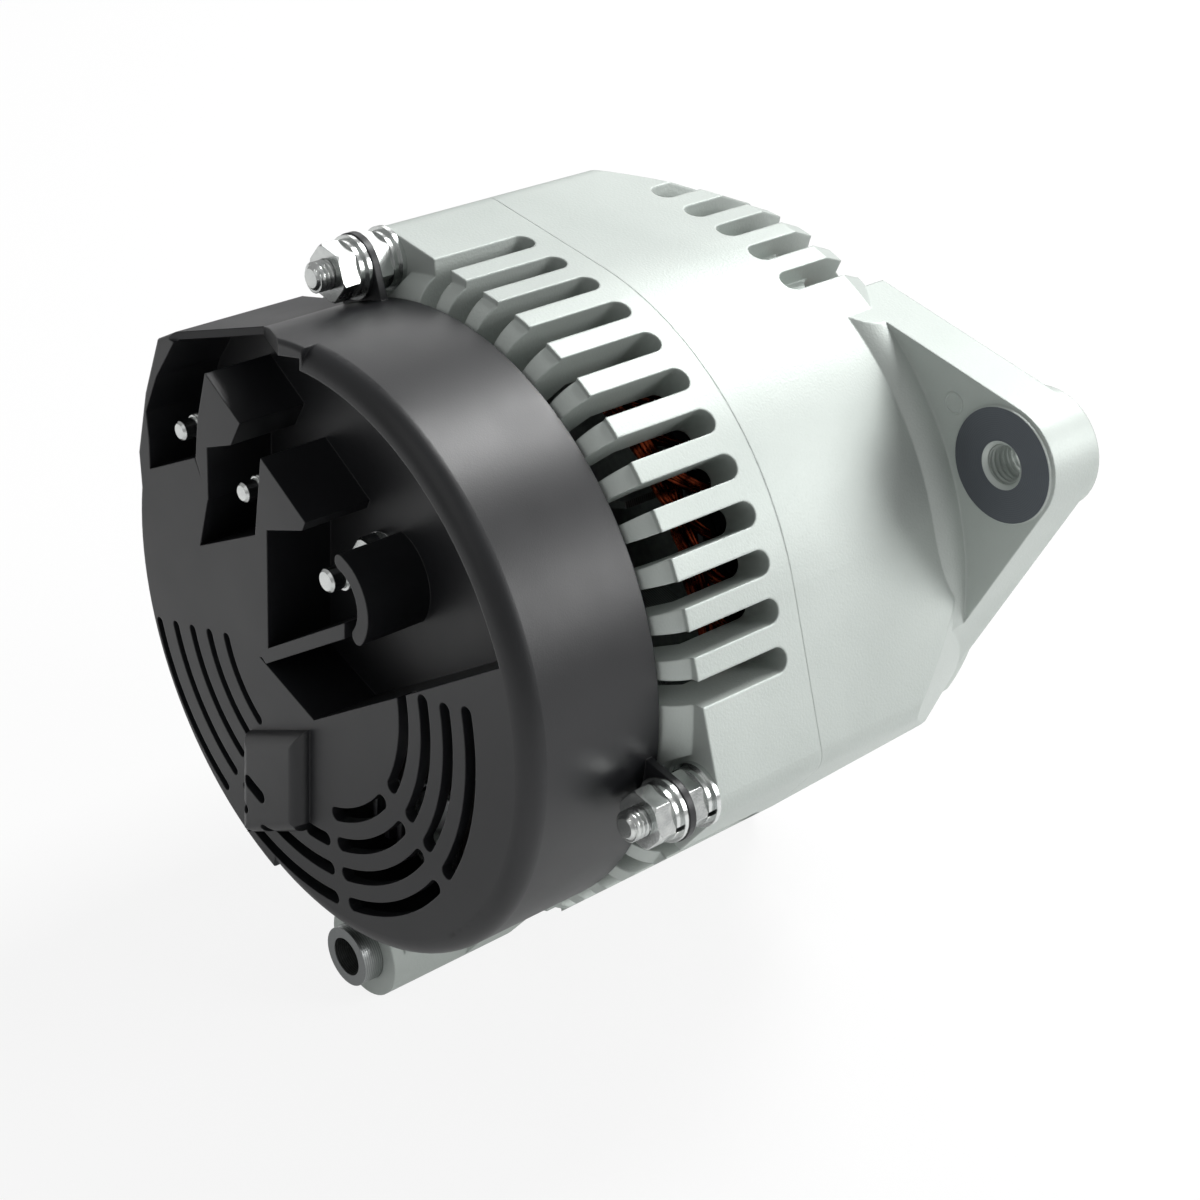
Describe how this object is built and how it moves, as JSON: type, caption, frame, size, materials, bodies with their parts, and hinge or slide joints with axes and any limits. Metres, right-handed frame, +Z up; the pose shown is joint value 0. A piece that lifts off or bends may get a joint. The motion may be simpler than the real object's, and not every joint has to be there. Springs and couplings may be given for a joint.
{
  "type": "alternator",
  "caption": "Belt-driven vehicle alternator: two cast end housings, claw-pole rotor, wound stator, black rear cover with open terminal pockets, adjusting ear and pivot feet.",
  "frame": {"origin": "on the shaft's axis, in the middle plane of the pulley's belt track", "axes": "+Y along the shaft from the pulley to the rear cover, +Z up, away from the two mounting feet"},
  "size_m": [0.1511, 0.1647, 0.1566],
  "materials": {
    "casting": "sand-blasted die casting",
    "black_plastic": "moulded glass-filled nylon, semi-gloss",
    "zinc_steel": "bright zinc plate",
    "plain_steel": "machined",
    "lamination": "stacked electrical steel sheets, varnished",
    "copper": "enamelled copper wire, varnished",
    "bearing_steel": "ground",
    "cage_plastic": "moulded polyamide",
    "bobbin_plastic": "moulded nylon",
    "brown_plastic": "moulded phenolic",
    "slip_copper": "polished copper",
    "carbon": "pressed copper graphite",
    "spring_steel": "drawn wire",
    "plate_aluminium": "stamped sheet",
    "pulley_steel": "turned steel, phosphated black"
  },
  "bodies": {
    "housing": {"slip_ring_end_bracket": "casting", "drive_end_bracket": "casting", "stator_core": "lamination", "stator_windings": "copper", "front_bearing_outer_race": "bearing_steel", "rear_bearing_outer_race": "bearing_steel", "rear_bearing_sleeve": "brown_plastic", "bearing_retainer": "zinc_steel", "retainer_screws": "zinc_steel", "through_studs": "zinc_steel", "casting_washers": "zinc_steel", "casting_spring_washers": "zinc_steel", "casting_nuts": "zinc_steel", "cover_washers": "zinc_steel", "cover_spring_washers": "zinc_steel", "cover_nuts": "zinc_steel", "rear_cover": "black_plastic", "main_output_stud": "zinc_steel", "second_output_stud": "zinc_steel", "charge_lamp_stud": "zinc_steel", "terminal_washers": "zinc_steel", "terminal_nuts": "zinc_steel", "negative_heat_sink": "plate_aluminium", "positive_heat_sink": "plate_aluminium", "negative_diodes": "plain_steel", "positive_diodes": "plain_steel", "rectifier_insulators": "brown_plastic", "rectifier_screws": "zinc_steel", "brush_holder": "brown_plastic", "inner_brush_spring": "spring_steel", "outer_brush_spring": "spring_steel", "regulator": "black_plastic", "regulator_screws": "zinc_steel"},
    "rotor": {"rotor_shaft": "plain_steel", "front_claw_pole": "plain_steel", "rear_claw_pole": "plain_steel", "rotor_core": "plain_steel", "field_bobbin": "bobbin_plastic", "field_coil": "copper", "front_fan": "plain_steel", "rear_fan": "plain_steel", "slip_ring_hub": "brown_plastic", "inner_slip_ring": "slip_copper", "outer_slip_ring": "slip_copper", "front_bearing_inner_race": "bearing_steel", "rear_bearing_inner_race": "bearing_steel", "pulley": "pulley_steel", "shaft_collar": "plain_steel", "pulley_spring_washer": "zinc_steel", "pulley_nut": "zinc_steel"},
    "front_ball_set": {"front_bearing_balls": "bearing_steel", "front_bearing_cage": "cage_plastic"},
    "rear_ball_set": {"rear_bearing_balls": "bearing_steel", "rear_bearing_cage": "cage_plastic"},
    "inner_brush": {"inner_brush": "carbon"},
    "outer_brush": {"outer_brush": "carbon"},
    "foot_bush": {"foot_bush": "plain_steel"}
  },
  "joints": [
    {"name": "rotor_spin", "type": "hinge", "parent": "housing", "child": "rotor", "pos_m": [0, 0, 0], "axis": [0, 1, 0], "continuous": true},
    {"name": "front_ball_orbit", "type": "hinge", "parent": "housing", "child": "front_ball_set", "pos_m": [0, 0.0295, 0], "axis": [0, 1, 0], "continuous": true},
    {"name": "rear_ball_orbit", "type": "hinge", "parent": "housing", "child": "rear_ball_set", "pos_m": [0, 0.1055, 0], "axis": [0, 1, 0], "continuous": true},
    {"name": "inner_brush_slide", "type": "slide", "parent": "housing", "child": "inner_brush", "axis": [0, 0, -1], "range_m": [0, 0.003], "stiffness_N_per_m": 300, "springref_m": -0.006, "deforming": ["inner_brush_spring"]},
    {"name": "outer_brush_slide", "type": "slide", "parent": "housing", "child": "outer_brush", "axis": [0, 0, -1], "range_m": [0, 0.003], "stiffness_N_per_m": 300, "springref_m": -0.006, "deforming": ["outer_brush_spring"]},
    {"name": "foot_bush_slide", "type": "slide", "parent": "housing", "child": "foot_bush", "axis": [0, 1, 0], "range_m": [-0.002, 0.002]}
  ],
  "couplings": [
    {"joint": "front_ball_orbit", "follows": "rotor_spin", "ratio": 0.36406},
    {"joint": "rear_ball_orbit", "follows": "rotor_spin", "ratio": 0.384}
  ]
}
